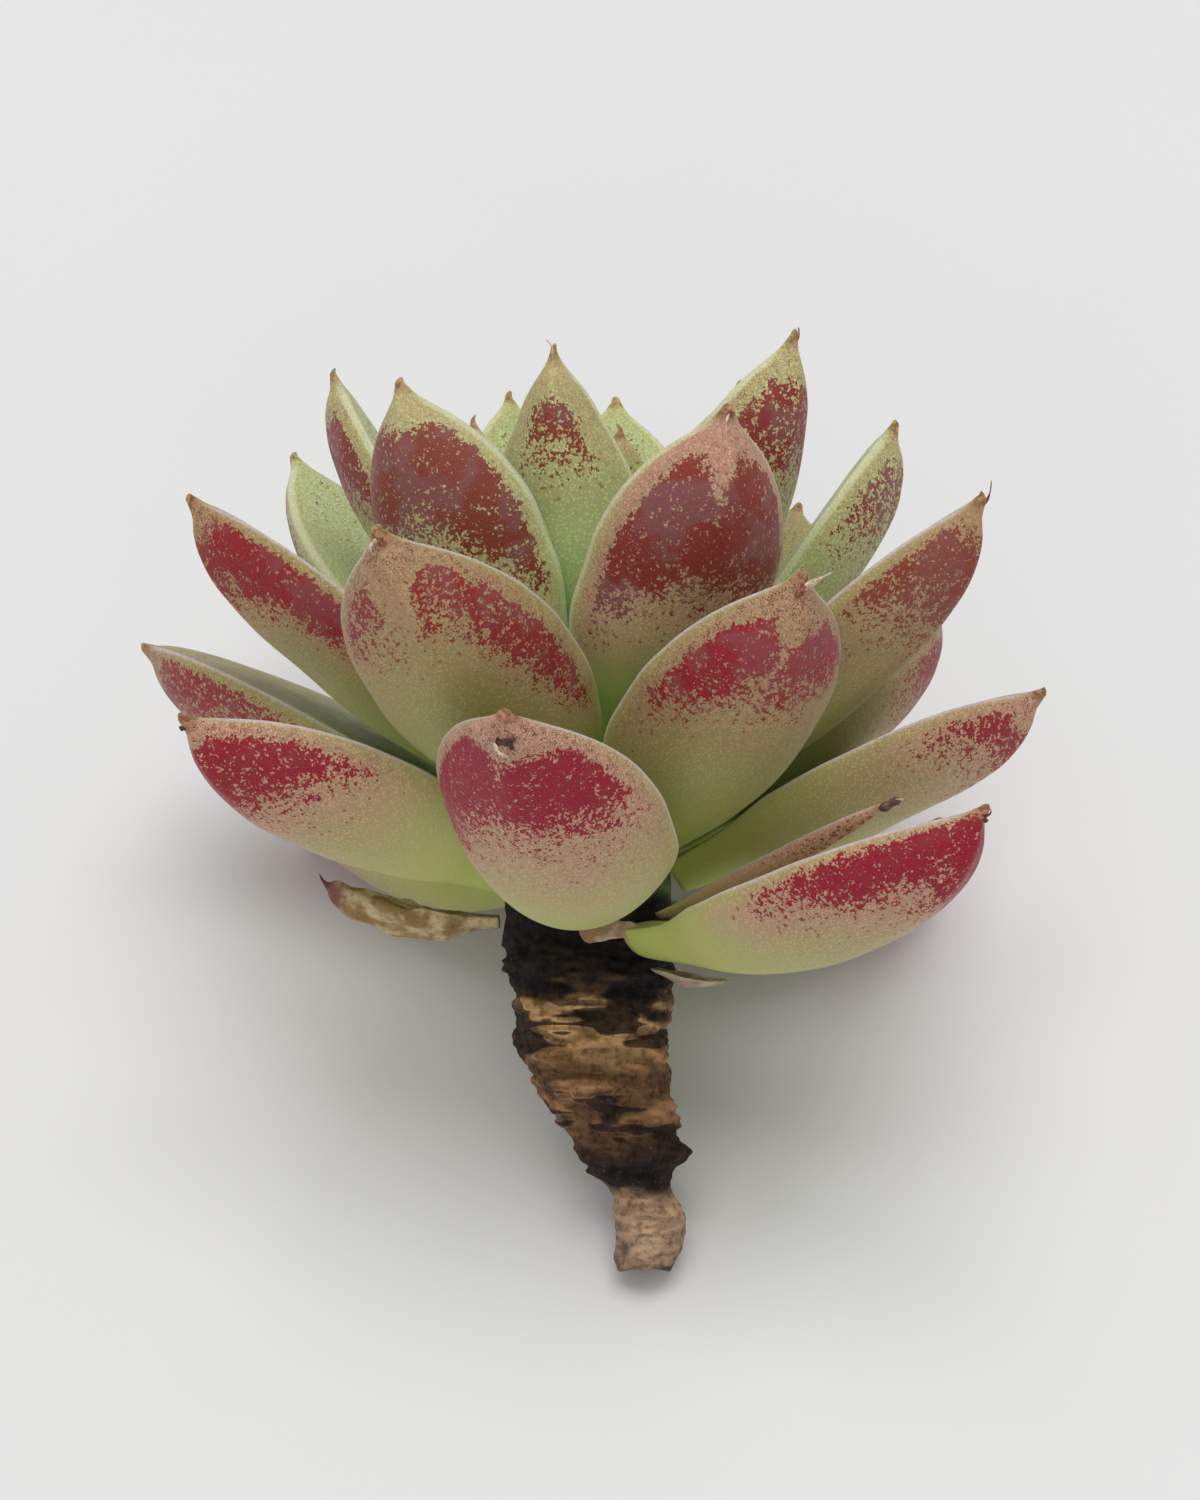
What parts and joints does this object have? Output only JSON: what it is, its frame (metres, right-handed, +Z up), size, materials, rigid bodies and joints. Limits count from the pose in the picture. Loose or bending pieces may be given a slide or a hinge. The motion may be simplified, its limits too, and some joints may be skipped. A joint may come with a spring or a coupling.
{
  "type": "succulent rosette",
  "caption": "Unpotted rosette succulent with thick pointed blushing leaves on a short bare woody stem, lying on its stem end and back leaves.",
  "frame": {"origin": "centre of the bounding box's bottom face, on the surface the plant lies on", "axes": "+Z up from the surface, -Y the side the cut stem points to, +X to the right of a viewer who looks along +Y"},
  "size_m": [0.0662, 0.0674, 0.0565],
  "materials": {
    "outer_leaf": "powdery waxy skin, yellow-green with a speckled crimson upper half",
    "middle_leaf": "powdery waxy skin, green with a speckled brownish red upper half",
    "inner_leaf": "powdery waxy skin, green with a small brown-red blush under the tip",
    "heart_leaf": "powdery waxy skin, pale bright green",
    "dry_leaf": "dried, wrinkled and papery",
    "bark": "rough dark bark ringed with old leaf scars"
  },
  "bodies": {
    "root": {"outer_leaf_01": "outer_leaf", "outer_leaf_02": "outer_leaf", "outer_leaf_03": "outer_leaf", "outer_leaf_04": "outer_leaf", "outer_leaf_05": "outer_leaf", "outer_leaf_06": "outer_leaf", "outer_leaf_07": "outer_leaf", "middle_leaf_01": "middle_leaf", "middle_leaf_02": "middle_leaf", "middle_leaf_03": "middle_leaf", "middle_leaf_04": "middle_leaf", "middle_leaf_05": "middle_leaf", "middle_leaf_06": "middle_leaf", "middle_leaf_07": "middle_leaf", "middle_leaf_08": "middle_leaf", "middle_leaf_09": "middle_leaf", "inner_leaf_01": "inner_leaf", "inner_leaf_02": "inner_leaf", "inner_leaf_03": "inner_leaf", "inner_leaf_04": "inner_leaf", "inner_leaf_05": "inner_leaf", "inner_leaf_06": "inner_leaf", "inner_leaf_07": "inner_leaf", "inner_leaf_08": "inner_leaf", "inner_leaf_09": "inner_leaf", "inner_leaf_10": "inner_leaf", "heart_leaf_01": "heart_leaf", "heart_leaf_02": "heart_leaf", "heart_leaf_03": "heart_leaf", "heart_leaf_04": "heart_leaf", "heart_leaf_05": "heart_leaf", "heart_leaf_06": "heart_leaf", "heart_leaf_07": "heart_leaf", "heart_leaf_08": "heart_leaf", "heart_leaf_09": "heart_leaf", "heart_leaf_10": "heart_leaf", "heart_leaf_11": "heart_leaf", "stunted_leaf": "outer_leaf", "withered_leaf": "dry_leaf", "dry_leaf_scrap": "dry_leaf", "stem": "bark"}
  },
  "joints": []
}
